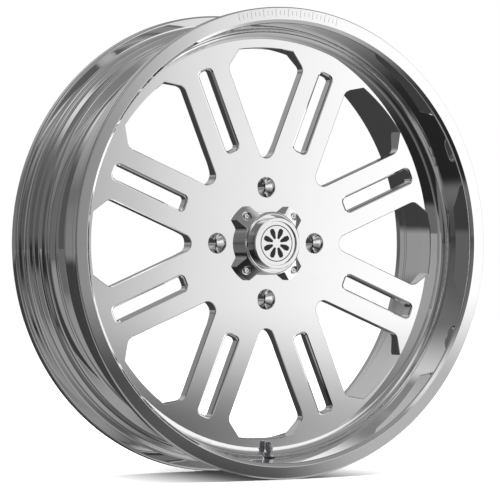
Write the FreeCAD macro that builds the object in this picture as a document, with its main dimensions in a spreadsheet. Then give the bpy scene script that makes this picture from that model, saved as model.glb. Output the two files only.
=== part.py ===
import FreeCAD, Part
import math
import os
import Sketcher
from FreeCAD import Vector, Placement, Rotation

# Two-piece forged racing wheel rim, 24 x 7 inch, four lug holes on 156 mm.
# Row frame: origin at the rim's centre, the wheel spins about Y, the outside
# face of the wheel looks towards -Y, +Z is up. Millimetres.

doc = FreeCAD.newDocument("forged_wheel_rim")
sheet = doc.addObject("Spreadsheet::Sheet", "dims")

DIMS = [
    # alias, value, what it is
    ("rim_radius", 324.7, "outer radius of both flanges"),
    ("half_width", 100.0, "half of the whole rim width"),
    ("flange_thick", 13.0, "axial thickness of each flange"),
    ("seat_radius", 307.2, "bead seat radius at the flange, 24 inch rim"),
    ("seat_low", 305.5, "bead seat radius at the hump, 5 degree taper"),
    ("hump_radius", 306.7, "top of the safety humps"),
    ("lip_face_inner", 307.3, "inner edge of the flat lip face"),
    ("lip_wall_front", 302.5, "lip wall radius just inside the lip face"),
    ("lip_wall_back", 297.65, "lip wall radius at the centre's fillet"),
    ("front_shell", 303.5, "outer radius between front hump and drop centre"),
    ("well_radius", 285.0, "outer radius of the drop centre"),
    ("well_inner", 279.0, "inner radius of the drop centre"),
    ("ledge_radius", 300.0, "outer radius of the rear ledge"),
    ("ledge_inner", 294.5, "inner radius of the rear ledge"),
    ("rear_inner", 301.0, "inner radius under the rear bead seat"),
    ("rear_mouth", 303.6, "inner radius of the rear opening"),
    ("face_y", -40.3, "front face of the spoke centre"),
    ("centre_edge", 291.0, "outer radius of the spoke centre"),
    ("ring_thick", 22.3, "thickness of the centre's outer ring"),
    ("spoke_thick", 14.3, "thickness of the spokes"),
    ("pad_thick", 25.0, "thickness at the edge of the hub pad"),
    ("mount_thick", 40.3, "face to the hub mounting face"),
    ("mount_radius", 97.0, "outer radius of the hub mounting face"),
    ("pad_radius", 112.0, "radius of the hub pad"),
    ("pilot_radius", 65.5, "hub pilot recess radius, 131 mm"),
    ("pilot_deep", 12.0, "depth of the hub pilot recess"),
    ("bore_radius", 37.0, "bore behind the cap"),
    ("lug_circle", 78.0, "half of the 156 mm lug circle"),
    ("lug_hole", 7.5, "lug stud hole radius"),
    ("lug_mouth", 13.7, "lug counterbore radius"),
    ("lug_mouth_deep", 6.0, "lug counterbore depth"),
    ("lug_cone_deep", 11.7, "depth of the 60 degree lug nut seat"),
    ("window_outer", 271.7, "outer radius of the windows"),
    ("window_top_half", 43.0, "half length of the window's outer arc"),
    ("window_side_off", 37.8, "window side to spoke centre line"),
    ("window_shoulder", 243.8, "height of the window's shoulder"),
    ("window_shoulder_half", 60.07, "half width at the window's shoulder"),
    ("window_fillet", 12.5, "fillet radius of the windows"),
    ("window_break", 0.9, "edge break of the windows"),
    ("slot_half", 9.8, "half width of the spoke slots"),
    ("slot_inner", 139.2, "inner end of the spoke slots"),
    ("slot_outer", 255.8, "outer end of the spoke slots"),
    ("slot_corner", 5.6, "corner radius of the spoke slots"),
    ("slot_bevel", 2.2, "bevel round the spoke slots"),
    ("cap_screw_circle", 53.0, "radius of the cap screw circle"),
    ("cap_screw_hole", 2.5, "cap screw thread radius, M5"),
    ("arm_half", 14.0, "half width of the cap arms"),
    ("arm_tip", 60.9, "radius of the cap arm tips"),
    ("arm_tip_high", 8.2, "cap arm height at the tip"),
    ("cone_rim", 43.0, "radius at the top of the arms' cone"),
    ("cone_high", 17.3, "height at the top of the arms' cone"),
    ("shoulder_rim", 42.4, "radius of the collar's shoulder"),
    ("shoulder_high", 19.5, "height of the collar's shoulder"),
    ("collar_rim", 41.0, "radius at the top of the collar"),
    ("collar_high", 20.6, "height of the collar's rim"),
    ("cap_waist", 43.9, "cap radius between the arms"),
    ("nose_well", 39.9, "recess radius round the nose"),
    ("nose_floor", 9.0, "height of the nose's seat"),
    ("nose_radius", 35.3, "nose radius"),
    ("nose_high", 31.5, "height of the nose's rim"),
    ("emblem_radius", 30.6, "emblem recess radius"),
    ("emblem_deep", 5.0, "emblem recess depth"),
    ("emblem_thick", 2.2, "emblem disc thickness"),
    ("valve_y", -48.5, "valve axis along the wheel's axis"),
    ("valve_seat", 298.0, "radius of the valve's flat seat in the lip"),
    ("valve_hole", 5.75, "valve hole radius, 11.5 mm"),
    ("valve_outer_seat", 303.1, "radius of the flat seat on the tyre side"),
    ("stem_radius", 3.85, "valve stem thread radius"),
    ("stem_top", 20.2, "valve stem length above its seat"),
    ("cap_low", 9.0, "foot of the valve cap above the seat"),
    ("cap_top", 23.0, "top of the valve cap above the seat"),
    ("valve_cap_radius", 4.9, "valve cap outer radius"),
]
VAL = {}
for row, (alias, value, note) in enumerate(DIMS, start=1):
    sheet.set("A%d" % row, note)
    sheet.set("B%d" % row, repr(value))
    sheet.setAlias("B%d" % row, alias)
    VAL[alias] = value
doc.recompute()


class Q:
    """A size with its number and the sheet expression that drives it."""

    def __init__(self, value, expr=None):
        self.v = float(value)
        self.e = expr if expr is not None else repr(round(float(value), 6))

    def _two(self, other, sign):
        o = other if isinstance(other, Q) else Q(other)
        num = {"+": self.v + o.v, "-": self.v - o.v,
               "*": self.v * o.v, "/": self.v / o.v if o.v else 0.0}[sign]
        return Q(num, "(%s %s %s)" % (self.e, sign, o.e))

    def __add__(self, o): return self._two(o, "+")
    def __radd__(self, o): return Q(o)._two(self, "+")
    def __sub__(self, o): return self._two(o, "-")
    def __rsub__(self, o): return Q(o)._two(self, "-")
    def __mul__(self, o): return self._two(o, "*")
    def __rmul__(self, o): return Q(o)._two(self, "*")
    def __truediv__(self, o): return self._two(o, "/")
    def __neg__(self): return Q(-self.v, "(-1 * %s)" % self.e)


def D(alias):
    return Q(VAL[alias], "dims.%s" % alias)


def root(q):
    return Q(math.sqrt(q.v), "sqrt(%s)" % q.e)


def asq(x):
    return x if isinstance(x, Q) else Q(x)


def new_body(name):
    body = doc.addObject("PartDesign::Body", name)
    body.Label = name
    return body


def plane_of(body, role):
    for feature in body.Origin.OriginFeatures:
        if feature.Role == role:
            return feature
    raise RuntimeError("no " + role)


def attach(body, name, role, offset=None):
    sk = body.newObject("Sketcher::SketchObject", name)
    sk.AttachmentSupport = [(plane_of(body, role), "")]
    sk.MapMode = "FlatFace"
    if offset is not None:
        q = asq(offset)
        sk.AttachmentOffset = Placement(Vector(0, 0, q.v), Rotation())
        if "dims." in q.e:
            sk.setExpression("AttachmentOffset.Base.z", q.e)
    return sk


def bind(sk, con, q):
    index = sk.addConstraint(con)
    if "dims." in q.e:
        sk.setExpression("Constraints[%d]" % index, q.e)


def pin_point(sk, geo, pos, x, y):
    x, y = asq(x), asq(y)
    if abs(x.v) < 1e-9:
        sk.addConstraint(Sketcher.Constraint("PointOnObject", geo, pos, -2))
    else:
        bind(sk, Sketcher.Constraint("DistanceX", -1, 1, geo, pos, x.v), x)
    if abs(y.v) < 1e-9:
        sk.addConstraint(Sketcher.Constraint("PointOnObject", geo, pos, -1))
    else:
        bind(sk, Sketcher.Constraint("DistanceY", -1, 1, geo, pos, y.v), y)


def outline(sk, pts, arcs=None):
    """Closed outline through pts. arcs[i] = (centre x, centre y, radius, ccw)
    makes the run from pts[i] to pts[i+1] an arc."""
    arcs = arcs or {}
    n = len(pts)
    xy = [(asq(p[0]).v, asq(p[1]).v) for p in pts]
    ends = []
    for i in range(n):
        a, b = xy[i], xy[(i + 1) % n]
        if i in arcs:
            cx, cy, rad, ccw = arcs[i]
            cx, cy, rad = asq(cx).v, asq(cy).v, asq(rad).v
            s, e = (a, b) if ccw else (b, a)
            a0 = math.atan2(s[1] - cy, s[0] - cx)
            a1 = math.atan2(e[1] - cy, e[0] - cx)
            if a1 < a0:
                a1 += 2 * math.pi
            g = sk.addGeometry(Part.ArcOfCircle(
                Part.Circle(Vector(cx, cy, 0), Vector(0, 0, 1), rad), a0, a1), False)
            ends.append((g, 1, 2) if ccw else (g, 2, 1))
        else:
            g = sk.addGeometry(Part.LineSegment(Vector(a[0], a[1], 0),
                                                Vector(b[0], b[1], 0)), False)
            ends.append((g, 1, 2))
    for i in range(n):
        g, _, e = ends[i]
        h, s, _ = ends[(i + 1) % n]
        sk.addConstraint(Sketcher.Constraint("Coincident", g, e, h, s))
    for i in range(n):
        g, s, _ = ends[i]
        pin_point(sk, g, s, pts[i][0], pts[i][1])
    for i, arc in arcs.items():
        bind(sk, Sketcher.Constraint("Radius", ends[i][0], asq(arc[2]).v), asq(arc[2]))


def ring(sk, x, y, r):
    x, y, r = asq(x), asq(y), asq(r)
    g = sk.addGeometry(Part.Circle(Vector(x.v, y.v, 0), Vector(0, 0, 1), r.v), False)
    pin_point(sk, g, 3, x, y)
    bind(sk, Sketcher.Constraint("Radius", g, r.v), r)
    return g


def check_cut(body, before, what):
    doc.recompute()
    if not body.Shape.Volume < before - 1e-3:
        raise RuntimeError(what + " removed nothing")


def revolve(body, name, role, pts, arcs=None):
    sk = attach(body, name + "_sketch", role)
    outline(sk, pts, arcs)
    f = body.newObject("PartDesign::Revolution", name)
    f.Profile = (sk, [""])
    f.ReferenceAxis = (sk, ["V_Axis"])
    f.Angle = 360
    body.Tip = f
    doc.recompute()
    return f


def pocket(body, name, sk, length=None, both=False, flip=False):
    before = body.Shape.Volume
    f = body.newObject("PartDesign::Pocket", name)
    f.Profile = (sk, [""])
    if length is None:
        f.Type = 1
        if both:
            if "SideType" in f.PropertiesList:
                f.SideType = "Symmetric"
            else:
                f.Midplane = True
    else:
        q = asq(length)
        f.Type = 0
        f.Length = q.v
        if "dims." in q.e:
            f.setExpression("Length", q.e)
    f.Reversed = flip
    body.Tip = f
    check_cut(body, before, name)
    return f


def polar(body, name, feature, axis_role, count):
    before = body.Shape.Volume
    f = body.newObject("PartDesign::PolarPattern", name)
    f.Originals = [feature]
    f.Axis = (plane_of(body, axis_role), [""])
    f.Angle = 360
    f.Occurrences = count
    body.Tip = f
    check_cut(body, before, name)
    return f


def dress(body, name, kind, edges, size):
    q = asq(size)
    base = body.Tip
    f = body.newObject("PartDesign::" + kind, name)
    f.Base = (base, edges)
    prop = "Radius" if kind == "Fillet" else "Size"
    setattr(f, prop, q.v)
    if "dims." in q.e:
        f.setExpression(prop, q.e)
    body.Tip = f
    doc.recompute()
    if "Invalid" in f.State or "Error" in f.State or not f.Shape.isValid():
        raise RuntimeError(name + " failed")
    return f


def hoops(body, spots, tol=0.05):
    """Names of circular edges about Y with the given (radius, y)."""
    out = []
    for k, edge in enumerate(body.Shape.Edges, start=1):
        c = edge.Curve
        if not isinstance(c, Part.Circle):
            continue
        if abs(c.Center.x) > 1e-3 or abs(c.Center.z) > 1e-3:
            continue
        for r, y in spots:
            if abs(c.Radius - r) < tol and abs(c.Center.y - y) < tol:
                out.append("Edge%d" % k)
    if len(out) < len(spots):
        raise RuntimeError("edges missing for %s" % (spots,))
    return out


# --------------------------------------------------------------- barrel
R, W = D("rim_radius"), D("half_width")
T = D("flange_thick")
face = D("face_y")
ring_back = face + D("ring_thick")
mount_y = face + D("mount_thick")

barrel = new_body("barrel")
revolve(barrel, "barrel_profile", "XY_Plane", [
    (D("lip_face_inner"), -W),
    (R, -W),
    (R, T - W),
    (D("seat_radius"), T - W),
    (D("seat_low"), T - W + 21),
    (D("hump_radius"), T - W + 23.4),
    (D("hump_radius"), T - W + 25.0),
    (D("front_shell"), T - W + 28.5),
    (D("front_shell"), face + 18.3),
    (D("well_radius"), face + 37.3),
    (D("well_radius"), W - 62),
    (D("ledge_radius"), W - 57.6),
    (D("ledge_radius"), W - 36.5),
    (D("hump_radius"), W - T - 20.2),
    (D("hump_radius"), W - T - 18.8),
    (D("seat_low"), W - T - 16.6),
    (D("seat_radius"), W - T),
    (R, W - T),
    (R, W),
    (D("rear_mouth"), W),
    (D("rear_inner"), W - 14),
    (D("rear_inner"), W - 27.5),
    (D("ledge_inner"), W - 35.5),
    (D("ledge_inner"), W - 55.5),
    (D("well_inner"), W - 63.5),
    (D("well_inner"), ring_back + 10),
    (D("well_inner") + 4.5, ring_back),
    (D("centre_edge"), ring_back),
    (D("centre_edge"), face),
    (D("lip_wall_back"), face),
    (D("lip_wall_back"), face - 13.3),
    (D("lip_wall_front"), -W + 4),
])
v = {k: VAL[k] for k in VAL}
w = v["half_width"]
t = v["flange_thick"]
fy = v["face_y"]
rb = fy + v["ring_thick"]
dress(barrel, "lip_rounds", "Fillet",
      hoops(barrel, [(v["rim_radius"], -w), (v["rim_radius"], w)]), 2.2)
dress(barrel, "flange_rounds", "Fillet",
      hoops(barrel, [(v["rim_radius"], t - w), (v["rim_radius"], w - t)]), 3.5)
dress(barrel, "seat_rounds", "Fillet",
      hoops(barrel, [(v["seat_radius"], t - w), (v["seat_radius"], w - t)]), 6.0)
dress(barrel, "well_rounds", "Fillet",
      hoops(barrel, [(v["front_shell"], fy + 18.3), (v["well_radius"], fy + 37.3)]), 9.0)
dress(barrel, "step_rounds", "Fillet",
      hoops(barrel, [(v["well_radius"], w - 62), (v["ledge_radius"], w - 57.6)]), 4.0)
dress(barrel, "ledge_rounds", "Fillet",
      hoops(barrel, [(v["ledge_radius"], w - 36.5), (v["front_shell"], t - w + 28.5),
                     (v["seat_low"], t - w + 21), (v["seat_low"], w - t - 16.6)]), 2.0)
dress(barrel, "inner_rounds", "Fillet",
      hoops(barrel, [(v["ledge_inner"], w - 55.5), (v["well_inner"], w - 63.5),
                     (v["ledge_inner"], w - 35.5), (v["rear_inner"], w - 27.5)]), 5.0)
dress(barrel, "lip_break", "Fillet",
      hoops(barrel, [(v["lip_wall_front"], -w + 4)]), 4.0)
dress(barrel, "mouth_break", "Chamfer",
      hoops(barrel, [(v["rear_mouth"], w)]), 1.0)


def valve_cuts(body, outer):
    s = attach(body, "valve_hole_sketch", "XY_Plane")
    ring(s, 0, D("valve_y"), D("valve_hole"))
    pocket(body, "valve_hole_cut", s)
    s = attach(body, "valve_seat_sketch", "XY_Plane")
    ring(s, 0, D("valve_y"), 8.1)
    pocket(body, "valve_seat_cut", s, D("valve_seat"))
    if outer:
        s = attach(body, "valve_outer_sketch", "XY_Plane", -D("valve_outer_seat"))
        ring(s, 0, D("valve_y"), 9.0)
        pocket(body, "valve_outer_cut", s, 30)


valve_cuts(barrel, True)

# --------------------------------------------------------------- welds
front_bead = new_body("front_seal_bead")
# concave polished fillet between the centre's face and the lip wall
bx0, by0 = D("lip_wall_back") - 13.35, face
bx1, by1 = D("lip_wall_back"), face - 13.35
half = math.hypot(13.35, 13.35) / 2
arc_r = 14.4
back = math.sqrt(arc_r ** 2 - half ** 2)
mid = (Q(0.5) * (bx0 + bx1), Q(0.5) * (by0 + by1))
acx = mid[0] - back * math.sqrt(0.5)
acy = mid[1] - back * math.sqrt(0.5)
revolve(front_bead, "front_bead_profile", "XY_Plane", [
    (bx0, by0), (D("lip_wall_back"), face), (bx1, by1)],
    {2: (acx, acy, arc_r, True)})
valve_cuts(front_bead, False)

rear_bead = new_body("rear_weld_bead")
rx0 = D("well_inner") - 2.6
rx1, ry1 = D("well_inner") + 4.5 - 0.45 * 7.0, ring_back + 7.0
seg = math.hypot(rx1.v - rx0.v, ry1.v - ring_back.v)
rr = 9.0
off = math.sqrt(rr ** 2 - (seg / 2) ** 2)
ux, uy = (rx1.v - rx0.v) / seg, (ry1.v - ring_back.v) / seg
rcx = Q(0.5) * (rx0 + rx1) + off * (-uy)
rcy = Q(0.5) * (ring_back + ry1) + off * ux
revolve(rear_bead, "rear_bead_profile", "XY_Plane", [
    (rx0, ring_back), (D("well_inner") + 4.5, ring_back), (rx1, ry1)],
    {2: (rcx, rcy, rr, False)})

# --------------------------------------------------------------- centre
centre = new_body("spoke_centre")
pa = (v["pad_radius"], fy + v["pad_thick"])
pb = (124.0, fy + 17.6)
pc = (150.0, fy + v["spoke_thick"])
circ = Part.Arc(Vector(pa[0], pa[1], 0), Vector(pb[0], pb[1], 0), Vector(pc[0], pc[1], 0)).toShape().Curve
cen, rad = circ.Center, circ.Radius
revolve(centre, "centre_profile", "XY_Plane", [
    (D("bore_radius"), face),
    (D("centre_edge"), face),
    (D("centre_edge"), ring_back),
    (D("window_outer") - 3.5, ring_back),
    (Q(252.0), face + D("spoke_thick")),
    (Q(150.0), face + D("spoke_thick")),
    (D("pad_radius"), face + D("pad_thick")),
    (D("mount_radius"), mount_y),
    (D("pilot_radius"), mount_y),
    (D("pilot_radius"), mount_y - D("pilot_deep")),
    (D("bore_radius"), mount_y - D("pilot_deep")),
], {5: (cen.x, cen.y, rad, False)})

# window outline about +Z: sides parallel to the spoke centre lines
c22, s22 = math.cos(math.radians(22.5)), math.sin(math.radians(22.5))
apex = D("window_side_off") * (1.0 / s22)
fr = D("window_fillet")
tip_y = apex + fr * (1.0 / s22)
tin_x, tin_y = fr * c22, tip_y - fr * s22
kx, ky = D("window_shoulder_half"), D("window_shoulder")
ox = D("window_top_half")
oy = root(D("window_outer") * D("window_outer") - ox * ox)
cl = math.hypot(ox.v - kx.v, oy.v - ky.v)
cdx, cdy = (ox.v - kx.v) / cl, (oy.v - ky.v) / cl
turn = math.acos(max(-1.0, min(1.0, s22 * cdx + c22 * cdy)))
tl = math.tan(turn / 2)
t1x, t1y = kx - fr * (tl * s22), ky - fr * (tl * c22)
t2x, t2y = kx + fr * (tl * cdx), ky + fr * (tl * cdy)
fcx, fcy = t1x - fr * c22, t1y + fr * s22
ws = attach(centre, "window_sketch", "XZ_Plane")
outline(ws, [
    (-tin_x, tin_y), (tin_x, tin_y), (t1x, t1y), (t2x, t2y), (ox, oy),
    (-ox, oy), (-t2x, t2y), (-t1x, t1y)],
    {0: (Q(0), tip_y, fr, True),
     2: (fcx, fcy, fr, True),
     4: (Q(0), Q(0), D("window_outer"), True),
     6: (-fcx, fcy, fr, True)})
wp = pocket(centre, "window_cut", ws, both=True)
polar(centre, "window_pattern", wp, "Y_Axis", 8)

# slots lie on the spoke centre lines, 22.5 degrees from the windows
sh, si, so, sc = D("slot_half"), D("slot_inner"), D("slot_outer"), D("slot_corner")


def spoke_xy(a, b):
    """Point a across and b along the spoke centre line."""
    return (a * c22 + b * s22, b * c22 - a * s22)


local = [(-sh + sc, si), (sh - sc, si), (sh, si + sc), (sh, so - sc),
         (sh - sc, so), (-sh + sc, so), (-sh, so - sc), (-sh, si + sc)]
cents = {1: (sh - sc, si + sc), 3: (sh - sc, so - sc),
         5: (-sh + sc, so - sc), 7: (-sh + sc, si + sc)}
ss = attach(centre, "slot_sketch", "XZ_Plane")
outline(ss, [spoke_xy(a, b) for a, b in local],
        {i: spoke_xy(a, b) + (sc, True) for i, (a, b) in cents.items()})
sp = pocket(centre, "slot_cut", ss, both=True)
polar(centre, "slot_pattern", sp, "Y_Axis", 8)

# lug holes: counterbore, 60 degree cone and stud hole, one groove each
lug = attach(centre, "lug_sketch", "XY_Plane")
lc = D("lug_circle")
m0 = face + D("lug_mouth_deep")
m1 = m0 + D("lug_cone_deep")
outline(lug, [(lc, face - 1), (lc + D("lug_mouth"), face - 1), (lc + D("lug_mouth"), m0),
              (lc + D("lug_hole"), m1), (lc + D("lug_hole"), mount_y + 1), (lc, mount_y + 1)])
g = lug.addGeometry(Part.LineSegment(Vector(lc.v, -60, 0), Vector(lc.v, 0, 0)), True)
lug.addConstraint(Sketcher.Constraint("Vertical", g))
bind(lug, Sketcher.Constraint("DistanceX", -1, 1, g, 1, lc.v), lc)
before = centre.Shape.Volume
lg = centre.newObject("PartDesign::Groove", "lug_groove")
lg.Profile = (lug, [""])
lg.ReferenceAxis = (lug, ["Axis0"])
lg.Angle = 360
centre.Tip = lg
check_cut(centre, before, "lug groove")
polar(centre, "lug_pattern", lg, "Y_Axis", 4)

cs = attach(centre, "cap_thread_sketch", "XZ_Plane")
dg = D("cap_screw_circle") * math.sqrt(0.5)
ring(cs, dg, dg, D("cap_screw_hole"))
cp = pocket(centre, "cap_thread_cut", cs, both=True)
polar(centre, "cap_thread_pattern", cp, "Y_Axis", 4)


def face_edges(body, y, keep):
    """Edges lying in the plane at y whose middle point keep() accepts."""
    out = []
    for k, edge in enumerate(body.Shape.Edges, start=1):
        bb = edge.BoundBox
        if abs(bb.YMin - y) > 1e-3 or abs(bb.YMax - y) > 1e-3:
            continue
        p = edge.valueAt((edge.FirstParameter + edge.LastParameter) / 2)
        if keep(p, edge):
            out.append("Edge%d" % k)
    return out


def spoke_local(p):
    """Radius and across/along position relative to the nearest spoke line."""
    ang = math.degrees(math.atan2(p.x, p.z))
    rel = (ang - 22.5 + 22.5) % 45 - 22.5
    rad_ = math.hypot(p.x, p.z)
    return rad_ * math.sin(math.radians(rel)), rad_ * math.cos(math.radians(rel))


def is_slot(p, edge):
    a, b = spoke_local(p)
    return abs(a) < v["slot_half"] + 0.5 and v["slot_inner"] - 1 < b < v["slot_outer"] + 1


def is_window(p, edge):
    rad_ = math.hypot(p.x, p.z)
    return 115 < rad_ < 273 and not is_slot(p, edge)


def is_lug(p, edge):
    c = edge.Curve
    return isinstance(c, Part.Circle) and abs(c.Radius - v["lug_mouth"]) < 0.01


dress(centre, "slot_bevels", "Chamfer", face_edges(centre, fy, is_slot), D("slot_bevel"))
dress(centre, "window_breaks", "Chamfer", face_edges(centre, fy, is_window), D("window_break"))
dress(centre, "lug_breaks", "Chamfer", face_edges(centre, fy, is_lug), 0.8)

# --------------------------------------------------------------- centre cap
cap = new_body("cap_base")


def up(h):
    return face - h


slope = (D("cone_high") - D("arm_tip_high")) / (D("arm_tip") - D("cone_rim"))
revolve(cap, "cap_profile", "XY_Plane", [
    (Q(4.3), up(Q(3.0))),
    (Q(30.0), up(Q(3.0))),
    (Q(30.0), up(Q(-6.0))),
    (Q(36.9), up(Q(-6.0))),
    (Q(36.9), face),
    (D("arm_tip") + 5, face),
    (D("arm_tip") + 5, up(D("arm_tip_high") - 5 * slope)),
    (D("cone_rim"), up(D("cone_high"))),
    (D("shoulder_rim"), up(D("shoulder_high"))),
    (D("collar_rim"), up(D("collar_high"))),
    (D("nose_well"), up(D("collar_high"))),
    (D("nose_well"), up(D("nose_floor"))),
    (Q(4.3), up(D("nose_floor"))),
])
# everything outside the four arms and the waist circle comes away
a_half, a_tip, waist = D("arm_half"), D("arm_tip"), D("cap_waist")
along = root(waist * waist - a_half * a_half)
tip = root(a_tip * a_tip - a_half * a_half)
r2 = math.sqrt(0.5)


def diag(q, a, b):
    """Quarter q: a across and b along the diagonal arm."""
    x, z = (a * r2 + b * r2, b * r2 - a * r2)
    for _ in range(q):
        x, z = z, -x
    return (x, z)


pts, arcs = [], {}
for q in range(4):
    pts += [diag(q, -a_half, along), diag(q, -a_half, tip),
            diag(q, a_half, tip), diag(q, a_half, along)]
    arcs[4 * q + 1] = (Q(0), Q(0), a_tip, False)
    arcs[4 * q + 3] = (Q(0), Q(0), waist, False)
arm = attach(cap, "arm_sketch", "XZ_Plane")
outline(arm, pts, arcs)
ring(arm, 0, 0, D("arm_tip") + 12)
pocket(cap, "arm_cut", arm, both=True)


def upright(body, keep):
    out = []
    for k, edge in enumerate(body.Shape.Edges, start=1):
        if not isinstance(edge.Curve, Part.Line):
            continue
        d = edge.tangentAt(edge.FirstParameter)
        if abs(abs(d.y) - 1) > 1e-6:
            continue
        p = edge.valueAt(edge.FirstParameter)
        if keep(math.hypot(p.x, p.z)):
            out.append("Edge%d" % k)
    return out


dress(cap, "arm_roots", "Fillet", upright(cap, lambda r: abs(r - v["cap_waist"]) < 0.5), 4.0)
dress(cap, "arm_corners", "Fillet",
      upright(cap, lambda r: r > v["arm_tip"] - 1), 1.6)
seat = attach(cap, "head_seat_sketch", "XZ_Plane", Q(8.5) - face)
ring(seat, dg, dg, 6.2)
hs = pocket(cap, "head_seat", seat, 20, flip=True)
polar(cap, "head_seats", hs, "Y_Axis", 4)
ch = attach(cap, "cap_clear_sketch", "XZ_Plane")
ring(ch, dg, dg, 2.75)
cc = pocket(cap, "cap_clear_cut", ch, both=True)
polar(cap, "cap_clear_pattern", cc, "Y_Axis", 4)

nose = new_body("cap_nose")
nr, nh = D("nose_radius"), D("nose_high")
revolve(nose, "nose_profile", "XY_Plane", [
    (Q(4.0), up(D("nose_floor"))),
    (nr - 0.8, up(D("nose_floor"))),
    (nr, up(D("nose_floor") + 0.8)),
    (nr, up(nh - 0.4)),
    (nr - 0.4, up(nh)),
    (D("emblem_radius") + 0.25, up(nh)),
    (D("emblem_radius"), up(nh - 0.25)),
    (D("emblem_radius"), up(nh - D("emblem_deep"))),
    (Q(0), up(nh - D("emblem_deep"))),
    (Q(0), up(Q(19.0))),
    (Q(4.0), up(Q(19.0))),
])

screw = new_body("cap_nose_screw")
revolve(screw, "nose_screw_profile", "XY_Plane", [
    (Q(0), up(Q(18.5))), (Q(4.0), up(Q(18.5))), (Q(4.0), up(Q(3.0))), (Q(6.5), up(Q(3.0))),
    (Q(6.5), up(Q(-4.4))), (Q(5.9), up(Q(-5.0))), (Q(0), up(Q(-5.0)))])
hx = attach(screw, "hex_sketch", "XZ_Plane", -face - 1.0)
hexr = 3.0 / math.cos(math.radians(30))
outline(hx, [(Q(hexr * math.cos(math.radians(60 * i))), Q(hexr * math.sin(math.radians(60 * i))))
             for i in range(6)])
pocket(screw, "hex_cut", hx, 10)

emblem = new_body("cap_emblem")
e0 = nh - D("emblem_deep")
er = D("emblem_radius") - 0.05
revolve(emblem, "emblem_profile", "XY_Plane", [
    (Q(0), up(e0)), (er, up(e0)), (er, up(e0 + D("emblem_thick") - 0.2)),
    (er - 0.2, up(e0 + D("emblem_thick"))), (Q(0), up(e0 + D("emblem_thick")))])

# four button-head screws share one node
screws = []
for q in range(4):
    name = "cap_screw_%d" % q
    b = new_body(name)
    revolve(b, name + "_profile", "XY_Plane", [
        (Q(0), Q(11.2)), (Q(2.5), Q(11.2)), (Q(2.5), Q(-8.5)), (Q(4.6), Q(-8.5)),
        (Q(4.6), Q(-9.2)), (Q(3.9), Q(-10.5)), (Q(2.9), Q(-11.2)), (Q(0), Q(-11.2))],
        None)
    hk = attach(b, name + "_hex", "XZ_Plane", 11.2)
    hr = 1.5 / math.cos(math.radians(30))
    outline(hk, [(Q(hr * math.cos(math.radians(60 * i + 15))), Q(hr * math.sin(math.radians(60 * i + 15))))
                 for i in range(6)])
    pocket(b, name + "_socket", hk, 1.6)
    sx = (1, 1, -1, -1)[q] * dg.v
    sz = (1, -1, -1, 1)[q] * dg.v
    b.Placement = Placement(Vector(sx, fy, sz), Rotation(Vector(0, 1, 0), 20 + 35 * q))
    screws.append(b)
cap_screws = doc.addObject("Part::Compound", "cap_screws")
cap_screws.Label = "cap_screws"
cap_screws.Links = screws

# --------------------------------------------------------------- valve
# Local frame: z = 0 on the flat seat in the lip, +z towards the wheel's centre.
VP = Placement(Vector(0, v["valve_y"], -v["valve_seat"]), Rotation())


def place_valve(body):
    body.Placement = VP
    body.setExpression("Placement.Base.y", "dims.valve_y")
    body.setExpression("Placement.Base.z", "-1 * dims.valve_seat")


sr, st = D("stem_radius"), D("stem_top")
head_z = -(D("valve_outer_seat") - D("valve_seat")) - 1.5
stem = new_body("valve_stem")
revolve(stem, "stem_profile", "XZ_Plane", [
    (Q(1.5), head_z - 2.6), (Q(7.8), head_z - 2.6), (Q(8.4), head_z - 2.0), (Q(8.4), head_z),
    (Q(4.4), head_z), (Q(4.4), Q(0.6)), (sr, Q(1.2)), (sr, st - 0.6), (sr - 0.5, st),
    (Q(2.75), st), (Q(2.75), Q(5.6)), (Q(1.5), Q(5.6))])
place_valve(stem)

inner_seal = new_body("valve_inner_seal")
revolve(inner_seal, "inner_seal_profile", "XZ_Plane", [
    (Q(4.4), head_z), (Q(8.2), head_z), (Q(8.2), head_z + 1.5), (Q(5.7), head_z + 1.5),
    (Q(5.7), Q(-0.4)), (Q(4.4), Q(-0.4))])
place_valve(inner_seal)

outer_seal = new_body("valve_outer_seal")
revolve(outer_seal, "outer_seal_profile", "XZ_Plane", [
    (Q(4.45), Q(0)), (Q(7.6), Q(0)), (Q(7.8), Q(0.4)), (Q(7.8), Q(1.1)), (Q(7.6), Q(1.5)),
    (Q(4.45), Q(1.5))])
place_valve(outer_seal)

washer = new_body("valve_washer")
revolve(washer, "washer_profile", "XZ_Plane", [
    (Q(3.9), Q(1.5)), (Q(7.3), Q(1.5)), (Q(7.5), Q(1.7)), (Q(7.5), Q(2.3)), (Q(7.3), Q(2.5)),
    (Q(3.9), Q(2.5))])
place_valve(washer)

nut = new_body("valve_nut")
revolve(nut, "nut_profile", "XZ_Plane", [
    (sr, Q(2.5)), (Q(6.1), Q(2.5)), (Q(7.0), Q(3.0)), (Q(7.0), Q(7.4)), (Q(6.1), Q(7.9)),
    (sr, Q(7.9))])
ns = attach(nut, "nut_hex_sketch", "XY_Plane")
nhx = 6.0 / math.cos(math.radians(30))
outline(ns, [(Q(nhx * math.cos(math.radians(60 * i + 10))), Q(nhx * math.sin(math.radians(60 * i + 10))))
             for i in range(6)])
ring(ns, 0, 0, 9.0)
pocket(nut, "nut_hex_cut", ns, 20, flip=True)
place_valve(nut)

core = new_body("valve_core_body")
revolve(core, "core_profile", "XZ_Plane", [
    (Q(1.15), Q(12.0)), (Q(2.1), Q(12.0)), (Q(2.1), Q(13.0)), (Q(2.6), Q(13.4)), (Q(2.7), Q(14.6)),
    (Q(2.7), Q(18.6)), (Q(1.9), Q(18.9)), (Q(1.15), Q(18.9))])
place_valve(core)

gasket = new_body("valve_core_gasket")
revolve(gasket, "gasket_profile", "XZ_Plane", [
    (Q(2.1), Q(12.05)), (Q(2.7), Q(12.05)), (Q(2.7), Q(13.3)), (Q(2.55), Q(13.3)), (Q(2.1), Q(12.95))])
place_valve(gasket)

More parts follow.
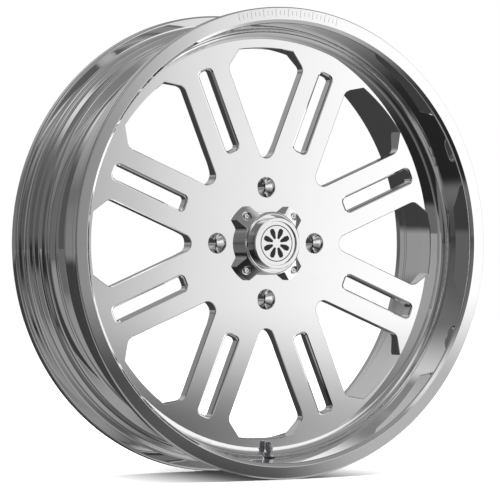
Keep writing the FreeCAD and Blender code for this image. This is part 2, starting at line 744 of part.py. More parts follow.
pin = new_body("valve_core_pin")
revolve(pin, "pin_profile", "XZ_Plane", [
    (Q(0), Q(7.2)), (Q(0.55), Q(7.2)), (Q(0.55), Q(10.2)), (Q(1.3), Q(10.2)), (Q(1.3), Q(10.8)),
    (Q(0.55), Q(10.8)), (Q(0.55), Q(18.4)), (Q(0.95), Q(18.9)), (Q(0.95), Q(19.8)), (Q(0), Q(19.8))])
place_valve(pin)

cup = new_body("valve_core_cup_seal")
revolve(cup, "cup_profile", "XZ_Plane", [
    (Q(0.55), Q(10.8)), (Q(1.9), Q(10.8)), (Q(1.9), Q(11.6)), (Q(1.7), Q(12.0)), (Q(0.55), Q(12.0))])
place_valve(cup)

cap_shell = new_body("valve_cap")
vr, vl, vt = D("valve_cap_radius"), D("cap_low"), D("cap_top")
revolve(cap_shell, "valve_cap_profile", "XZ_Plane", [
    (sr + 0.08, vl), (vr - 0.4, vl), (vr, vl + 0.4), (vr, vt - 2.6), (vr - 0.5, vt - 1.0),
    (vr - 1.7, vt), (Q(0), vt), (Q(0), st + 1.4), (sr + 0.08, st + 1.4)])
fs = attach(cap_shell, "flute_sketch", "XY_Plane", vl + 2.6)
ring(fs, vr + 0.25, 0, 0.55)
fp = pocket(cap_shell, "flute_cut", fs, 7.4, flip=True)
polar(cap_shell, "flutes", fp, "Z_Axis", 18)
place_valve(cap_shell)

cap_seal = new_body("valve_cap_seal")
revolve(cap_seal, "cap_seal_profile", "XZ_Plane", [
    (Q(1.9), st), (sr, st), (sr, st + 1.4), (Q(1.9), st + 1.4)])
place_valve(cap_seal)

# the core's return spring stands on the stem's inner shelf
coil = doc.addObject("Part::Helix", "spring_path")
coil.Pitch = 0.92
coil.Height = 4.2
coil.Radius = 1.05
coil.Placement = Placement(Vector(0, 0, 0), Rotation())
wire = doc.addObject("Part::Circle", "spring_wire")
wire.Radius = 0.16
wire.Placement = Placement(Vector(1.05, 0, 0), Rotation(Vector(1, 0, 0), 90))
spring = doc.addObject("Part::Sweep", "valve_core_spring")
spring.Label = "valve_core_spring"
spring.Sections = [wire]
spring.Spine = (coil, [])
spring.Solid = True
spring.Frenet = True
spring.Placement = Placement(Vector(0, v["valve_y"], -v["valve_seat"] + 5.6 + 0.17), Rotation())
doc.recompute()

NODES = {
    "barrel": barrel, "spoke_centre": centre,
    "front_seal_bead": front_bead, "rear_weld_bead": rear_bead,
    "cap_base": cap, "cap_nose": nose, "cap_nose_screw": screw,
    "cap_emblem": emblem, "cap_screws": cap_screws,
    "valve_stem": stem, "valve_inner_seal": inner_seal, "valve_outer_seal": outer_seal,
    "valve_washer": washer, "valve_nut": nut,
    "valve_core_body": core, "valve_core_gasket": gasket, "valve_core_pin": pin,
    "valve_core_cup_seal": cup, "valve_core_spring": spring,
    "valve_cap": cap_shell, "valve_cap_seal": cap_seal,
}

bad = []
for obj in doc.Objects:
    if "Invalid" in obj.State or "Error" in obj.State:
        bad.append(obj.Name + " " + ",".join(obj.State))
for name, obj in NODES.items():
    shape = obj.Shape
    if shape.isNull() or not shape.isValid() or not shape.Solids:
        bad.append(name + " has no valid solid")
if bad:
    raise RuntimeError("; ".join(bad))

os.makedirs("parts", exist_ok=True)
for name, obj in NODES.items():
    obj.Shape.exportStep("parts/%s.step" % name)
    bb = obj.Shape.BoundBox
    print("%-20s solids %d volume %.1f  x %.2f..%.2f y %.2f..%.2f z %.2f..%.2f" % (
        name, len(obj.Shape.Solids), obj.Shape.Volume,
        bb.XMin, bb.XMax, bb.YMin, bb.YMax, bb.ZMin, bb.ZMax))
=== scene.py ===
import bpy
import bmesh
import math
from mathutils import Vector, Matrix


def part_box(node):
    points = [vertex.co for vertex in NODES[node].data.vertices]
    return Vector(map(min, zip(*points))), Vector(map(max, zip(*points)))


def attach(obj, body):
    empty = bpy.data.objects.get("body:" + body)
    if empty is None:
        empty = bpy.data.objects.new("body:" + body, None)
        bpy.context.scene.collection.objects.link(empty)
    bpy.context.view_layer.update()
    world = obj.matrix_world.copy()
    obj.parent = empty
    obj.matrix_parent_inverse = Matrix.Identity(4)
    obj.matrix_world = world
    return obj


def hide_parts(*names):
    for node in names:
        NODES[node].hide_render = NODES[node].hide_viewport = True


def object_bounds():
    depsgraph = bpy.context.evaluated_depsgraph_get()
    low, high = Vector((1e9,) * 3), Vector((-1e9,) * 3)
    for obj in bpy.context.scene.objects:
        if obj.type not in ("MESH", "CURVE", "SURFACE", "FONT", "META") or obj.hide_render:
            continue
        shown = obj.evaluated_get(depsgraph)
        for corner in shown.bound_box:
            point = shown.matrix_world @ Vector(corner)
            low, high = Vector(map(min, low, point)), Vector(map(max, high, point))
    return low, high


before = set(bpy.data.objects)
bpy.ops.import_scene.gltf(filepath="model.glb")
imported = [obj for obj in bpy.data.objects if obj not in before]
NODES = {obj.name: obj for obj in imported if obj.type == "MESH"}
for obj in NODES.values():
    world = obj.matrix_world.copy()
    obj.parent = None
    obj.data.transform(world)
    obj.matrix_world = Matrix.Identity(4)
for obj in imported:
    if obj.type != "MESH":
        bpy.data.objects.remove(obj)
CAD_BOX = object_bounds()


# --------------------------------------------------------------------------
# small node-tree helper
# --------------------------------------------------------------------------
class Tree:
    def __init__(self, owner):
        owner.use_nodes = True
        self.t = owner.node_tree
        self.t.nodes.clear()

    def new(self, kind, **props):
        n = self.t.nodes.new("ShaderNode" + kind)
        for k, v in props.items():
            setattr(n, k, v)
        return n

    def put(self, socket, value):
        if isinstance(value, bpy.types.NodeSocket):
            self.t.links.new(value, socket)
        elif value is not None:
            socket.default_value = value

    def math(self, op, a, b=None, c=None, clamp=False):
        n = self.new("Math", operation=op, use_clamp=clamp)
        self.put(n.inputs[0], a)
        self.put(n.inputs[1], b)
        self.put(n.inputs[2], c)
        return n.outputs[0]

    def mix(self, f, a, b):
        """a + f * (b - a) for plain numbers."""
        return self.math("ADD", self.math("MULTIPLY", self.math("SUBTRACT", b, a), f), a)

    def step(self, x, lo, hi, kind="SMOOTHSTEP", out=(0.0, 1.0)):
        n = self.new("MapRange", interpolation_type=kind, clamp=True)
        self.put(n.inputs["Value"], x)
        self.put(n.inputs["From Min"], lo)
        self.put(n.inputs["From Max"], hi)
        self.put(n.inputs["To Min"], out[0])
        self.put(n.inputs["To Max"], out[1])
        return n.outputs[0]

    def noise(self, vec, scale, detail=2.0, rough=0.5, dist=0.0):
        n = self.new("TexNoise")
        self.put(n.inputs["Vector"], vec)
        self.put(n.inputs["Scale"], scale)
        self.put(n.inputs["Detail"], detail)
        self.put(n.inputs["Roughness"], rough)
        self.put(n.inputs["Distortion"], dist)
        return n.outputs["Fac"]

    def curve(self, x, points):
        """A float curve through points, x and y in 0..1."""
        n = self.new("FloatCurve")
        c = n.mapping.curves[0]
        pts = list(points)
        while len(c.points) < len(pts):
            c.points.new(0.5, 0.5)
        for p, (px, py) in zip(c.points, pts):
            p.location = (px, py)
        n.mapping.use_clip = False
        n.mapping.update()
        self.put(n.inputs["Value"], x)
        return n.outputs[0]


# --------------------------------------------------------------------------
# materials: every one is procedural
# --------------------------------------------------------------------------
def metal(name, colour, rough, turned=0.0, mottled=0.012, bump=0.0, tint=0.02, scratches=0.0, grain=900.0, crown=0.0):
    """Polished or turned metal. turned is the strength of the fine rings about the wheel's axle, mottled how much
    the polish varies, bump the depth of the ring marks in metres."""
    m = bpy.data.materials.new(name)
    t = Tree(m)
    out = t.new("OutputMaterial")
    p = t.new("BsdfPrincipled")
    t.put(out.inputs["Surface"], p.outputs[0])
    co = t.new("TexCoord").outputs["Object"]
    sep = t.new("SeparateXYZ")
    t.put(sep.inputs[0], co)
    x, y, z = sep.outputs
    rad = t.math("SQRT", t.math("ADD", t.math("MULTIPLY", x, x), t.math("MULTIPLY", z, z)))
    rings_v = t.new("CombineXYZ")
    t.put(rings_v.inputs[0], t.math("MULTIPLY", rad, 2600.0))
    t.put(rings_v.inputs[1], t.math("MULTIPLY", y, 2600.0))
    ang = t.math("ARCTAN2", x, z)
    t.put(rings_v.inputs[2], t.math("MULTIPLY", t.math("ABSOLUTE", ang), 1.3))
    rings = t.noise(rings_v.outputs[0], 1.0, 3.0, 0.6)
    cloud = t.noise(co, 26.0, 4.0, 0.55)
    fine = t.noise(co, grain, 2.0, 0.6)
    r = t.math("MULTIPLY_ADD", t.math("SUBTRACT", cloud, 0.5), 2.0 * mottled, rough)
    r = t.math("MULTIPLY_ADD", t.math("SUBTRACT", rings, 0.5), 2.0 * turned, r)
    r = t.math("MULTIPLY_ADD", t.math("SUBTRACT", fine, 0.5), mottled, r)
    t.put(p.inputs["Roughness"], t.math("MAXIMUM", r, 0.004))
    c = t.new("MixRGB") if hasattr(bpy.types, "ShaderNodeMixRGB") else None
    lo = [max(0.0, v * (1.0 - tint)) for v in colour] + [1.0]
    hi = [min(1.0, v * (1.0 + tint)) for v in colour] + [1.0]
    t.put(c.inputs[0], cloud)
    c.inputs[1].default_value = lo
    c.inputs[2].default_value = hi
    t.put(p.inputs["Base Color"], c.outputs[0])
    p.inputs["Metallic"].default_value = 1.0
    if bump > 0.0:
        b = t.new("Bump")
        t.put(b.inputs["Strength"], 1.0)
        t.put(b.inputs["Distance"], bump)
        h = rings
        if scratches > 0.0:
            h = t.mix(scratches, rings, fine)
        t.put(b.inputs["Height"], h)
        if crown > 0.0:
            # the lip face is buffed very slightly round, falling away towards its outer edge
            on = t.math("MULTIPLY", t.step(rad, 0.3074, 0.3082), t.step(y, -0.0988, -0.0996))
            k = t.math("DIVIDE", t.math("MULTIPLY", on, crown), rad)
            lean = t.new("CombineXYZ")
            t.put(lean.inputs[0], t.math("MULTIPLY", x, k))
            t.put(lean.inputs[2], t.math("MULTIPLY", z, k))
            tilt = t.new("VectorMath", operation="ADD")
            t.put(tilt.inputs[0], b.outputs[0])
            t.put(tilt.inputs[1], lean.outputs[0])
            unit = t.new("VectorMath", operation="NORMALIZE")
            t.put(unit.inputs[0], tilt.outputs[0])
            t.put(p.inputs["Normal"], unit.outputs[0])
        else:
            t.put(p.inputs["Normal"], b.outputs[0])
    m["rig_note"] = "procedural"
    return m


def rubber(name):
    m = bpy.data.materials.new(name)
    t = Tree(m)
    out = t.new("OutputMaterial")
    p = t.new("BsdfPrincipled")
    t.put(out.inputs["Surface"], p.outputs[0])
    co = t.new("TexCoord").outputs["Object"]
    n = t.noise(co, 1800.0, 3.0, 0.6)
    t.put(p.inputs["Roughness"], t.step(n, 0.2, 0.8, "LINEAR", (0.5, 0.72)))
    ramp = t.new("ValToRGB")
    ramp.color_ramp.elements[0].color = (0.012, 0.012, 0.012, 1)
    ramp.color_ramp.elements[1].color = (0.035, 0.035, 0.036, 1)
    t.put(ramp.inputs[0], t.noise(co, 300.0, 2.0))
    t.put(p.inputs["Base Color"], ramp.outputs[0])
    b = t.new("Bump")
    t.put(b.inputs["Distance"], 0.00006)
    t.put(b.inputs["Height"], n)
    t.put(p.inputs["Normal"], b.outputs[0])
    return m


def enamel(name):
    m = bpy.data.materials.new(name)
    t = Tree(m)
    out = t.new("OutputMaterial")
    p = t.new("BsdfPrincipled")
    t.put(out.inputs["Surface"], p.outputs[0])
    co = t.new("TexCoord").outputs["Object"]
    n = t.noise(co, 2600.0, 3.0, 0.6)
    t.put(p.inputs["Roughness"], t.step(n, 0.2, 0.8, "LINEAR", (0.38, 0.5)))
    ramp = t.new("ValToRGB")
    ramp.color_ramp.elements[0].color = (0.010, 0.010, 0.010, 1)
    ramp.color_ramp.elements[1].color = (0.016, 0.016, 0.017, 1)
    t.put(ramp.inputs[0], t.noise(co, 420.0, 3.0))
    t.put(p.inputs["Base Color"], ramp.outputs[0])
    p.inputs["Specular IOR Level"].default_value = 0.3
    return m


M = {
    "barrel": metal("polished_aluminium", (0.90, 0.90, 0.905), 0.022, turned=0.012, mottled=0.008, bump=0.0000006, crown=0.017),
    "centre": metal("polished_forging", (0.915, 0.915, 0.92), 0.024, mottled=0.008),
    "weld": metal("weld_aluminium", (0.90, 0.90, 0.905), 0.04, turned=0.015, mottled=0.02),
    "rear_weld": metal("as_welded_aluminium", (0.80, 0.80, 0.81), 0.24, turned=0.03, mottled=0.06, bump=0.00003),
    "cap": metal("polished_cap", (0.90, 0.90, 0.905), 0.022, mottled=0.008),
    "emblem": metal("emblem_polished", (0.91, 0.91, 0.91), 0.05, mottled=0.01, grain=2400.0),
    "ink": enamel("black_enamel"),
    "screw": metal("bright_stainless", (0.78, 0.78, 0.79), 0.06, mottled=0.02),
    "valve": metal("valve_dark_chrome", (0.42, 0.42, 0.44), 0.10, turned=0.02, mottled=0.03),
    "brass": metal("machined_brass", (0.74, 0.57, 0.27), 0.18, turned=0.04, mottled=0.04),
    "steel": metal("spring_steel", (0.58, 0.58, 0.60), 0.22, mottled=0.05),
    "rubber": rubber("seal_rubber"),
}
LOOK = {
    "barrel": "barrel", "spoke_centre": "centre", "front_seal_bead": "weld", "rear_weld_bead": "rear_weld",
    "cap_base": "cap", "cap_nose": "cap", "cap_nose_screw": "screw", "cap_emblem": "emblem", "cap_screws": "screw",
    "valve_stem": "valve", "valve_inner_seal": "rubber", "valve_outer_seal": "rubber", "valve_washer": "valve",
    "valve_nut": "valve", "valve_core_body": "brass", "valve_core_gasket": "rubber", "valve_core_pin": "steel",
    "valve_core_cup_seal": "rubber", "valve_core_spring": "steel", "valve_cap": "valve", "valve_cap_seal": "rubber",
}
for node, look in LOOK.items():
    me = NODES[node].data
    if not me.materials:
        me.materials.append(M[look])
    for i in range(len(me.materials)):
        me.materials[i] = M[look]


# --------------------------------------------------------------------------
# added pieces
# --------------------------------------------------------------------------
def piece(name, verts, faces, look, body="wheel", sharp=30.0):
    me = bpy.data.meshes.new(name)
    me.from_pydata([tuple(q) for q in verts], [], faces)
    bm = bmesh.new()
    bm.from_mesh(me)
    bmesh.ops.recalc_face_normals(bm, faces=bm.faces)
    bm.to_mesh(me)
    bm.free()
    for poly in me.polygons:
        poly.use_smooth = True
    me.set_sharp_from_angle(angle=math.radians(sharp))
    me.materials.append(M[look])
    ob = bpy.data.objects.new(name, me)
    bpy.context.scene.collection.objects.link(ob)
    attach(ob, body)
    return ob


def prism(outline, place, low, high, edge, verts, faces):
    """Raised island: outline is a list of flat (a, b) points, place(a, b, h) puts one in space and edge is the width
    of the small bevel round its top."""
    n = len(outline)
    cx = sum(q[0] for q in outline) / n
    cy = sum(q[1] for q in outline) / n
    base = len(verts)
    for inset, h in ((0.0, low), (0.0, high - edge), (edge, high)):
        for a, b in outline:
            d = math.hypot(a - cx, b - cy) or 1.0
            k = 1.0 - inset / d
            verts.append(place(cx + (a - cx) * k, cy + (b - cy) * k, h))
    for row in (0, 1):
        for i in range(n):
            j = (i + 1) % n
            faces.append((base + row * n + i, base + row * n + j, base + (row + 1) * n + j, base + (row + 1) * n + i))
    verts.append(place(cx, cy, high))
    top = len(verts) - 1
    for i in range(n):
        faces.append((base + 2 * n + i, base + 2 * n + (i + 1) % n, top))


def rounded(w, h, r, steps=4):
    """Rectangle w by h about the origin with rounded corners."""
    out = []
    for qx, qy, a0 in ((1, 1, 0), (-1, 1, 90), (-1, -1, 180), (1, -1, 270)):
        for k in range(steps + 1):
            a = math.radians(a0 + 90.0 * k / steps)
            out.append((qx * (w / 2 - r) + r * math.cos(a), qy * (h / 2 - r) + r * math.sin(a)))
    return out


def emblem_motif():
    """Plain rosette of eight black blades inside a thin black ring, standing just proud of the emblem disc."""
    y0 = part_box("cap_emblem")[0][1]
    verts, faces = [], []
    for k in range(8):
        t0 = math.radians(45.0 * k + 22.5)
        blade = []
        for a, b in ((-1.5, 6.5), (1.5, 6.5), (3.9, 15.0), (3.2, 20.2), (0.0, 21.6), (-3.2, 20.2), (-3.9, 15.0)):
            blade.append((a * 0.001, b * 0.001))

        def place(a, b, h, t0=t0):
            return (a * math.cos(t0) + b * math.sin(t0), y0 - h, b * math.cos(t0) - a * math.sin(t0))
        prism(blade, place, -0.00005, 0.0002, 0.00008, verts, faces)
    seg = 128
    base = len(verts)
    ring = ((0.0242, -0.00005), (0.0242, 0.0001), (0.0243, 0.0002), (0.0253, 0.0002), (0.0254, 0.0001), (0.0254, -0.00005))
    for i in range(seg):
        a = 2 * math.pi * i / seg
        for r, h in ring:
            verts.append((r * math.sin(a), y0 - h, r * math.cos(a)))
    m = len(ring)
    for i in range(seg):
        for j in range(m - 1):
            p0, p1 = base + i * m + j, base + ((i + 1) % seg) * m + j
            faces.append((p0, p1, p1 + 1, p0 + 1))
    piece("emblem_rosette", verts, faces, "ink")


def lip_marks():
    """Row of plain raised ticks on the lip face, centred on the top: long and short by turns."""
    y0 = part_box("barrel")[0][1]
    verts, faces = [], []
    step = 1.18
    for k in range(-12, 13):
        t0 = math.radians(step * k + 0.3)
        long_one = k % 3 == 0
        w, h = (0.0021, 0.0104) if long_one else (0.0017, 0.0062)
        mid = 0.3166

        def place(a, b, up, t0=t0, mid=mid):
            a, b = a, b + mid
            return (a * math.cos(t0) + b * math.sin(t0), y0 - up, b * math.cos(t0) - a * math.sin(t0))
        prism(rounded(w, h, w * 0.42), place, -0.0001, 0.00045, 0.0003, verts, faces)
    piece("lip_ticks", verts, faces, "barrel")


def cap_grip():
    """Fine upright ribs round the valve cap."""
    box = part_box("valve_cap")
    cx, cy = (box[0][0] + box[1][0]) / 2, (box[0][1] + box[1][1]) / 2
    z0, z1 = box[0][2] + 0.0012, box[1][2] - 0.0042
    r = (box[1][0] - box[0][0]) / 2
    seg = 144
    verts, faces = [], []
    rows = ((z0 - 0.0002, -0.00012, 0.0), (z0 + 0.0003, 0.0001, 1.0), (z1 - 0.0003, 0.0001, 1.0), (z1 + 0.0002, -0.00012, 0.0))
    for zz, off, amp in rows:
        for i in range(seg):
            a = 2 * math.pi * i / seg
            rr = r + off + amp * 0.00016 * math.cos(a * 24)
            verts.append((cx + rr * math.sin(a), cy + rr * math.cos(a), zz))
    for j in range(len(rows) - 1):
        for i in range(seg):
            k = (i + 1) % seg
            faces.append((j * seg + i, j * seg + k, (j + 1) * seg + k, (j + 1) * seg + i))
    piece("valve_cap_grip", verts, faces, "valve", body="valve_cap_turn", sharp=50.0)


def barrel_skin():
    """The barrel as a fine lathe: the CAD profile with rounder humps, so that the polish runs clean."""
    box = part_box("barrel")
    r_out, w = box[1][0] * 1000.0, box[1][1] * 1000.0
    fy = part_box("spoke_centre")[0][1] * 1000.0
    # radius, distance along the axle, corner round, all in millimetres
    prof = [
        (297.65, fy - 13.3, 0), (302.5, 4 - w, 4.0), (307.3, -w, 0.5), (r_out, -w, 2.2), (r_out, 13 - w, 3.5),
        (307.2, 13 - w, 6.0), (305.5, 32 - w, 4.0), (307.0, 36.6 - w, 3.5), (303.5, 42 - w, 4.0),
        (303.5, fy + 18.3, 9.0), (285.0, fy + 37.3, 9.0), (285.0, w - 62, 4.0), (300.0, w - 57.6, 4.0),
        (300.0, w - 37.0, 3.5), (307.4, w - 32.4, 3.5), (305.5, w - 27.0, 5.0), (307.2, w - 13, 6.0),
        (r_out, w - 13, 3.5), (r_out, w, 2.2), (303.6, w, 1.0), (301.0, w - 14, 2.0), (301.0, w - 27.5, 5.0),
        (294.5, w - 35.5, 5.0), (294.5, w - 55.5, 5.0), (279.0, w - 63.5, 5.0), (279.0, fy + 32.3, 0),
        (283.5, fy + 22.3, 0), (291.0, fy + 22.3, 0), (291.0, fy, 0), (297.65, fy, 0)]
    pts = []
    for i, (r, y, rd) in enumerate(prof):
        if i in (0, len(prof) - 1) or rd <= 0:
            pts.append((r, y))
            continue
        ax, ay = prof[i - 1][0] - r, prof[i - 1][1] - y
        bx, by = prof[i + 1][0] - r, prof[i + 1][1] - y
        la, lb = math.hypot(ax, ay), math.hypot(bx, by)
        ax, ay, bx, by = ax / la, ay / la, bx / lb, by / lb
        inner = math.acos(max(-1.0, min(1.0, ax * bx + ay * by)))
        tan = rd / math.tan(inner / 2)
        tan = min(tan, la * 0.48, lb * 0.48)
        rad = tan * math.tan(inner / 2)
        mx, my = ax + bx, ay + by
        ml = math.hypot(mx, my)
        cd = rad / math.sin(inner / 2)
        cx, cy = r + mx / ml * cd, y + my / ml * cd
        a0 = math.atan2(y + ay * tan - cy, r + ax * tan - cx)
        a1 = math.atan2(y + by * tan - cy, r + bx * tan - cx)
        while a1 - a0 > math.pi:
            a1 -= 2 * math.pi
        while a1 - a0 < -math.pi:
            a1 += 2 * math.pi
        n = max(3, int(abs(a1 - a0) / math.radians(9)) + 1)
        for k in range(n + 1):
            a = a0 + (a1 - a0) * k / n
            pts.append((cx + rad * math.cos(a), cy + rad * math.sin(a)))
    # a support ring close to each end of every straight run keeps the shading of the rounds off the flats
    held = []
    for i, (r, y) in enumerate(pts):
        r1, y1 = pts[(i + 1) % len(pts)]
        held.append((r, y))
        run = math.hypot(r1 - r, y1 - y)
        if run > 2.0:
            for k in (0.3 / run, 1.0 - 0.3 / run):
                held.append((r + (r1 - r) * k, y + (y1 - y) * k))
    out = [(r * 0.001, y * 0.001) for r, y in held]
    seg = 480
    verts, faces = [], []
    for j in range(seg):
        a = 2 * math.pi * (j + 0.5) / seg
        sa, ca = math.sin(a), math.cos(a)
        for r, y in out:
            verts.append((r * sa, y, r * ca))
    m = len(out)
    for j in range(seg):
        k = (j + 1) % seg
        for i in range(m):
            n = (i + 1) % m
            faces.append((j * m + i, k * m + i, k * m + n, j * m + n))
    # close the foot behind the centre and its bead
    ob = piece("barrel_polish", verts, faces, "barrel", sharp=40.0)
    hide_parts("barrel")
    return ob


emblem_motif()
lip_marks()
cap_grip()
barrel_skin()


# --------------------------------------------------------------------------
# floor: a wide pale sheet that glows, soft to the edge, with a painted shadow round the wheel's foot
# --------------------------------------------------------------------------
FLOOR_Z = CAD_BOX[0][2]


def make_floor():
    bm = bmesh.new()
    rings, seg = 24, 96
    last = None
    for i in range(rings + 1):
        r = 9.0 * (i / rings) ** 2
        if i == 0:
            row = [bm.verts.new((0, 0, FLOOR_Z))]
        else:
            row = [bm.verts.new((r * math.cos(2 * math.pi * j / seg), r * math.sin(2 * math.pi * j / seg), FLOOR_Z))
                   for j in range(seg)]
        if last is not None:
            for j in range(seg):
                k = (j + 1) % seg
                if len(last) == 1:
                    bm.faces.new((last[0], row[j], row[k]))
                else:
                    bm.faces.new((last[j], row[j], row[k], last[k]))
        last = row
    me = bpy.data.meshes.new("floor")
    bm.to_mesh(me)
    bm.free()
    ob = bpy.data.objects.new("floor", me)
    bpy.context.scene.collection.objects.link(ob)
    m = bpy.data.materials.new("pale_floor")
    t = Tree(m)
    out = t.new("OutputMaterial")
    p = t.new("BsdfPrincipled")
    co = t.new("TexCoord").outputs["Object"]
    n = t.noise(co, 60.0, 4.0, 0.6)
    ramp = t.new("ValToRGB")
    ramp.color_ramp.elements[0].color = (0.88, 0.88, 0.88, 1)
    ramp.color_ramp.elements[1].color = (0.90, 0.90, 0.90, 1)
    t.put(ramp.inputs[0], n)
    t.put(p.inputs["Base Color"], ramp.outputs[0])
    p.inputs["Roughness"].default_value = 0.9
    p.inputs["Specular IOR Level"].default_value = 0.1
    p.inputs["Emission Color"].default_value = (1, 1, 1, 1)
    # pale sheet: the lamp overhead casts the real shadow, and the sheet's glow, faint at the wheel and full white a
    # little way out, paints more shadow round the wheel's foot, so its edge never shows
    sepf = t.new("SeparateXYZ")
    t.put(sepf.inputs[0], co)
    fx, fy, _ = sepf.outputs
    beyond = t.math("MAXIMUM", t.math("SUBTRACT", t.math("ABSOLUTE", fy), 0.10), 0.0)
    beyond = t.math("MULTIPLY", beyond, 0.35)
    far = t.math("SQRT", t.math("ADD", t.math("MULTIPLY", fx, fx), t.math("MULTIPLY", beyond, beyond)))
    t.put(p.inputs["Emission Strength"], t.step(far, 0.02, 0.24, "SMOOTHSTEP", (FLOOR_GLOW_AT_WHEEL, 1.0)))
    # in the polished metal only the part beside the wheel shows, as a soft pool of light
    sep = t.new("SeparateXYZ")
    t.put(sep.inputs[0], co)
    x, y, z = sep.outputs
    pool = t.math("MULTIPLY", t.step(y, 0.10, -0.02), t.step(y, -0.62, -0.16))
    pool = t.math("MULTIPLY", pool, t.step(x, -0.02, -0.16))
    side = t.math("MULTIPLY", t.step(x, -0.34, -0.62), t.step(y, 0.0, -0.25))
    level = t.math("MAXIMUM", t.math("MULTIPLY", pool, 0.34), t.math("MULTIPLY", side, 0.16))
    glow = t.new("Emission")
    t.put(glow.inputs["Strength"], level)
    clear = t.new("BsdfTransparent")
    mirror = t.new("MixShader")
    t.put(mirror.inputs[0], t.step(level, 0.0, 0.14))
    t.put(mirror.inputs[1], clear.outputs[0])
    t.put(mirror.inputs[2], glow.outputs[0])
    lp = t.new("LightPath")
    both = t.new("MixShader")
    t.put(both.inputs[0], lp.outputs["Is Glossy Ray"])
    t.put(both.inputs[1], p.outputs[0])
    t.put(both.inputs[2], mirror.outputs[0])
    t.put(out.inputs["Surface"], both.outputs[0])
    me.materials.append(m)
    return ob


# faint glow of the floor at the wheel's foot: the darkest part of its painted shadow
FLOOR_GLOW_AT_WHEEL = 0.03
make_floor()


# --------------------------------------------------------------------------
# studio: a soft room made in the world, by direction only
# --------------------------------------------------------------------------
def make_world():
    w = bpy.data.worlds.new("studio")
    bpy.context.scene.world = w
    t = Tree(w)
    out = t.new("OutputWorld")
    nrm = t.new("VectorMath", operation="NORMALIZE")
    t.put(nrm.inputs[0], t.new("TexCoord").outputs["Generated"])
    sep = t.new("SeparateXYZ")
    t.put(sep.inputs[0], nrm.outputs[0])
    x, y, z = sep.outputs
    deg = 180.0 / math.pi
    # azimuth from the front (-Y) towards +X, elevation from the floor up, both in degrees
    az = t.math("MULTIPLY", t.math("ARCTAN2", x, t.math("MULTIPLY", y, -1.0)), deg)
    el = t.math("MULTIPLY", t.math("ARCSINE", z), deg)

    def S(v, lo, hi):
        return t.step(v, lo, hi)

    def mul(*v):
        r = v[0]
        for o in v[1:]:
            r = t.math("MULTIPLY", r, o)
        return r

    def add(*v):
        r = v[0]
        for o in v[1:]:
            r = t.math("ADD", r, o)
        return r

    # the dark floor in front, paler to the right and straight down
    deep = S(el, -36.0, -66.0)
    lo = t.math("MULTIPLY_ADD", deep, -30.0, -8.0)
    hi = t.math("MULTIPLY_ADD", deep, -8.0, 46.0)
    low = add(mul(0.42, S(az, lo, hi)), 0.02, mul(deep, 0.06))
    low = add(low, mul(0.26, S(az, 20.0, 42.0), S(el, -27.0, -19.0)))
    low = add(low, mul(0.75, S(az, 56.0, 64.0), S(el, -50.0, -36.0)))
    low = add(low, mul(0.22, S(az, -64.0, -76.0), S(az, -120.0, -90.0), S(el, -24.0, -32.0)))
    away = t.math("ABSOLUTE", az)
    back = S(away, 92.0, 140.0)
    rear = S(away, 150.0, 172.0)
    low = t.mix(back, low, 0.05)
    # walls and ceiling
    right = S(az, -25.0, -19.0)
    left = t.math("SUBTRACT", 1.0, right)
    high = add(mul(0.12, right), 0.10, mul(0.18, right, S(az, 12.0, -18.0), S(el, 28.0, 20.0)))
    high = add(high, mul(0.08, S(az, -54.0, -40.0), left, S(el, -2.0, 6.0)))
    high = add(high, mul(0.06, S(az, -58.0, -70.0)))
    high = add(high, mul(0.17, S(el, 34.0, 48.0), t.math("MULTIPLY_ADD", right, -0.6, 1.0), S(az, -88.0, -58.0)))
    # the soft box on the left, the strip over the middle and the big pair on the right
    high = add(high, mul(0.50, S(az, -62.0, -30.0), S(az, -17.0, -25.0), S(el, 25.0, 40.0), S(el, 66.0, 44.0)))
    high = add(high, mul(0.28, S(az, -4.0, 0.0), S(az, 22.0, 8.0), S(el, 41.0, 45.0), S(el, 52.0, 48.0)))
    high = t.mix(mul(S(az, 10.0, 24.0), S(el, 8.0, 15.0), S(el, 46.0, 24.0)), high, 1.02)
    high = t.mix(mul(S(az, 56.0, 66.0), S(el, 34.0, 24.0)), high, 1.1)
    behind = add(mul(0.26, S(away, 146.0, 154.0), S(el, 8.0, 32.0)), 0.12, mul(0.10, rear, S(el, 2.0, 10.0)))
    high = t.mix(back, high, behind)
    # a lit patch of the back wall, low down behind the left shoulder
    high = add(high, mul(0.20, S(away, 138.0, 145.0), S(away, 158.0, 150.0), S(el, 14.0, 8.0)))
    env = t.mix(S(el, -5.5, -2.5), low, high)
    # the wall the disc faces: its light fades to the left and drops below the horizon
    a01 = t.step(az, 10.0, 50.0, "LINEAR")
    bright = t.curve(a01, [((q - 10.0) / 40.0, v) for q, v in WALL_HIGH])
    dim = t.curve(a01, [((q - 10.0) / 40.0, v) for q, v in WALL_LOW])
    dim = mul(dim, t.math("MULTIPLY_ADD", mul(S(el, -4.8, -6.2), S(az, 33.0, 30.0)), -0.7, 1.0))
    wall = t.mix(S(el, -3.5, -0.9), dim, bright)
    near = mul(S(az, 10.0, 24.0), S(az, 62.0, 50.0), S(el, -14.0, -7.0), S(el, 16.0, 9.0))
    env = t.mix(near, env, wall)
    bg = t.new("Background")
    t.put(bg.inputs["Strength"], env)
    bg.inputs["Color"].default_value = (1, 1, 1, 1)
    white = t.new("Background")
    white.inputs["Strength"].default_value = 1.0
    white.inputs["Color"].default_value = (1, 1, 1, 1)
    lp = t.new("LightPath")
    mx = t.new("MixShader")
    t.put(mx.inputs[0], lp.outputs["Is Camera Ray"])
    t.put(mx.inputs[1], bg.outputs[0])
    t.put(mx.inputs[2], white.outputs[0])
    t.put(out.inputs["Surface"], mx.outputs[0])


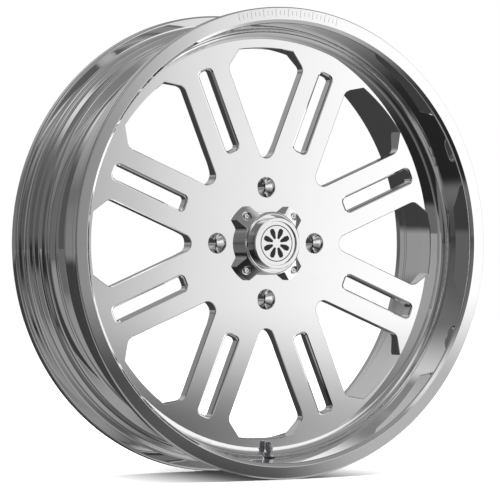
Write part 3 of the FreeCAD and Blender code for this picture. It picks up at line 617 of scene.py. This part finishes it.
# azimuth in degrees and brightness, above and below the horizon
WALL_HIGH = [(10, 0.03), (20, 0.14), (24.3, 0.28), (26.0, 0.43), (26.5, 0.50), (27.5, 0.63), (28.5, 0.79), (29.5, 0.88),
             (30.5, 0.96), (31.5, 1.04), (33, 1.10), (50, 1.10)]
WALL_LOW = [(10, 0.02), (26.8, 0.10), (28.8, 0.19), (30, 0.30), (31.2, 0.43), (32.8, 0.48), (36, 0.50), (50, 0.50)]
make_world()


def area(name, loc, aim, size, power, shape="RECTANGLE", size_y=None, spread=180.0):
    li = bpy.data.lights.new(name, "AREA")
    li.shape = shape
    li.size = size
    if size_y is not None:
        li.size_y = size_y
    li.energy = power
    li.spread = math.radians(spread)
    ob = bpy.data.objects.new(name, li)
    bpy.context.scene.collection.objects.link(ob)
    ob.location = loc
    ob.rotation_mode = "QUATERNION"
    ob.rotation_quaternion = (Vector(aim) - Vector(loc)).to_track_quat("-Z", "Y")
    return ob


def flag():
    """Grey studio flag standing at the left, seen only in the polished metal: a glowing card whose painted light is
    fainter low down by the floor and brighter towards its outer left end.
    """
    n, m = 12, 8
    verts, faces = [], []
    for i in range(n + 1):
        for j in range(m + 1):
            u, w = i / n, j / m
            verts.append((-1.75 + 1.33 * u, -1.02 - 0.12 * math.cos(math.pi * u), FLOOR_Z + 0.02 + 1.35 * w))
    for i in range(n):
        for j in range(m):
            a = i * (m + 1) + j
            faces.append((a, a + m + 1, a + m + 2, a + 1))
    me = bpy.data.meshes.new("flag")
    me.from_pydata(verts, [], faces)
    mat = bpy.data.materials.new("glowing_grey_flag")
    t = Tree(mat)
    out = t.new("OutputMaterial")
    e = t.new("Emission")
    co = t.new("TexCoord").outputs["Object"]
    sp = t.new("SeparateXYZ")
    t.put(sp.inputs[0], co)
    # painted light: the card's glow is fainter near the floor and brighter towards its outer left end
    h = t.step(sp.outputs[2], -0.06, 0.10)
    side = t.step(sp.outputs[0], -0.50, -0.95)
    t.put(e.inputs["Strength"], t.math("MULTIPLY_ADD", h, t.math("MULTIPLY_ADD", side, 0.03, 0.048), 0.026))
    # its edges are feathered
    cover = t.math("MULTIPLY", t.step(sp.outputs[0], -0.42, -0.80), t.step(sp.outputs[2], 1.02, 0.40))
    cover = t.math("MULTIPLY", cover, t.step(sp.outputs[2], FLOOR_Z + 0.02, FLOOR_Z + 0.16))
    thin = t.new("BsdfTransparent")
    soft = t.new("MixShader")
    t.put(soft.inputs[0], cover)
    t.put(soft.inputs[1], thin.outputs[0])
    t.put(soft.inputs[2], e.outputs[0])
    t.put(out.inputs["Surface"], soft.outputs[0])
    me.materials.append(mat)
    ob = bpy.data.objects.new("flag", me)
    bpy.context.scene.collection.objects.link(ob)
    ob.visible_camera = False
    ob.visible_diffuse = False
    ob.visible_shadow = False
    return ob


flag()

# a broad light overhead for the floor; the metal reflects the room instead
top = area("overhead", (0.0, -0.3, 2.6), (0.0, 0.0, FLOOR_Z), 3.2, 190.0, size_y=3.2)
top.visible_glossy = False
top.visible_camera = False


# --------------------------------------------------------------------------
# camera: the photograph's own angle
# --------------------------------------------------------------------------
cam = bpy.data.cameras.new("camera")
cam.lens = 215.2
cam.sensor_width = 36.0
cam_ob = bpy.data.objects.new("camera", cam)
bpy.context.scene.collection.objects.link(cam_ob)
cam_ob.location = (-2.074, -3.645, -0.0093)
cam_ob.rotation_mode = "QUATERNION"
cam_ob.rotation_quaternion = Vector((0.494, 0.8695, 0.0)).to_track_quat("-Z", "Y")
bpy.context.scene.camera = cam_ob
cam.clip_end = 100.0
sc = bpy.context.scene
sc.view_settings.view_transform = "Standard"
sc.view_settings.look = "None"
sc.view_settings.exposure = 0.0
sc.view_settings.gamma = 1.0
sc.cycles.max_bounces = 16
sc.cycles.glossy_bounces = 10
sc.cycles.caustics_reflective = False
sc.cycles.caustics_refractive = False

# --------------------------------------------------------------------------
bpy.context.view_layer.update()
